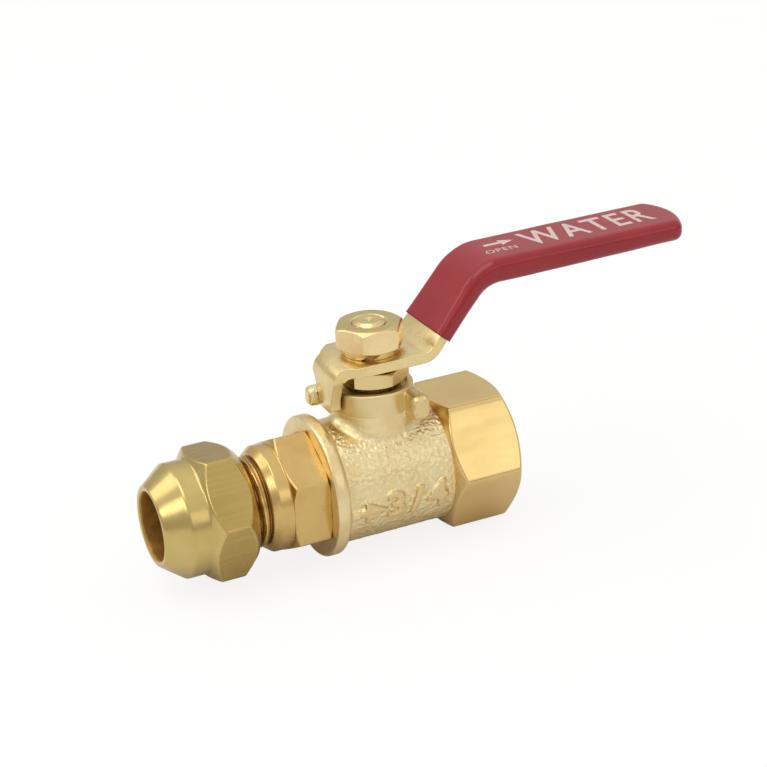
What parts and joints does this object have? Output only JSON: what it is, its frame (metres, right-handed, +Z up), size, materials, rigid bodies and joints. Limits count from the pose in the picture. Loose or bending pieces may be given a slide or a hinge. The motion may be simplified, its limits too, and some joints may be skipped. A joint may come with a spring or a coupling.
{
  "type": "ball valve",
  "caption": "Lever-operated bronze ball valve for water pipe, with a hexagonal female pipe thread end, a screwed-in adaptor with a flare nut, and a red dipped bent lever.",
  "frame": {"origin": "on the pipe axis, in the plane of the female thread end's face", "axes": "+X out of the female thread end along the pipe, towards the lever's grip; +Z up the stem; +Y across, where the grip points when the valve is shut"},
  "size_m": [0.1419, 0.037, 0.0677],
  "materials": {
    "cast_bronze": "fine sand-cast skin, polished hexagon and machined boss",
    "machined_brass": "turned",
    "nut_brass": "turned, slightly dull",
    "chrome_ball": "polished",
    "plated_steel": "pale gold passivated plating",
    "steel_washer": "dull",
    "ptfe": "waxy white",
    "seal_fibre": "dull red-brown",
    "red_vinyl": null
  },
  "bodies": {
    "valve_body": {"body_casting": "cast_bronze", "body_seal_ring": "seal_fibre", "end_adaptor": "machined_brass", "seat_ring_outlet": "ptfe", "seat_ring_inlet": "ptfe", "stem_thrust_washer": "ptfe", "packing_ring_lower": "ptfe", "packing_ring_middle": "ptfe", "packing_ring_upper": "ptfe", "gland_washer": "machined_brass", "gland_nut": "machined_brass"},
    "lever_assembly": {"stem": "machined_brass", "lever": "plated_steel", "lever_sleeve": "red_vinyl", "spring_washer": "steel_washer", "lever_nut": "plated_steel"},
    "ball": {"ball": "chrome_ball"},
    "flare_nut": {"flare_nut": "nut_brass"}
  },
  "joints": [
    {"name": "lever_turn", "type": "hinge", "parent": "valve_body", "child": "lever_assembly", "pos_m": [-0.0314, 0, 0], "axis": [0, 0, 1], "range_deg": [0, 90]},
    {"name": "ball_turn", "type": "hinge", "parent": "valve_body", "child": "ball", "pos_m": [-0.0314, 0, 0], "axis": [0, 0, 1], "range_deg": [0, 90]},
    {"name": "flare_nut_turn", "type": "hinge", "parent": "valve_body", "child": "flare_nut", "pos_m": [-0.0784, 0, 0], "axis": [1, 0, 0], "continuous": true}
  ],
  "couplings": [
    {"joint": "ball_turn", "follows": "lever_turn", "ratio": 1}
  ]
}
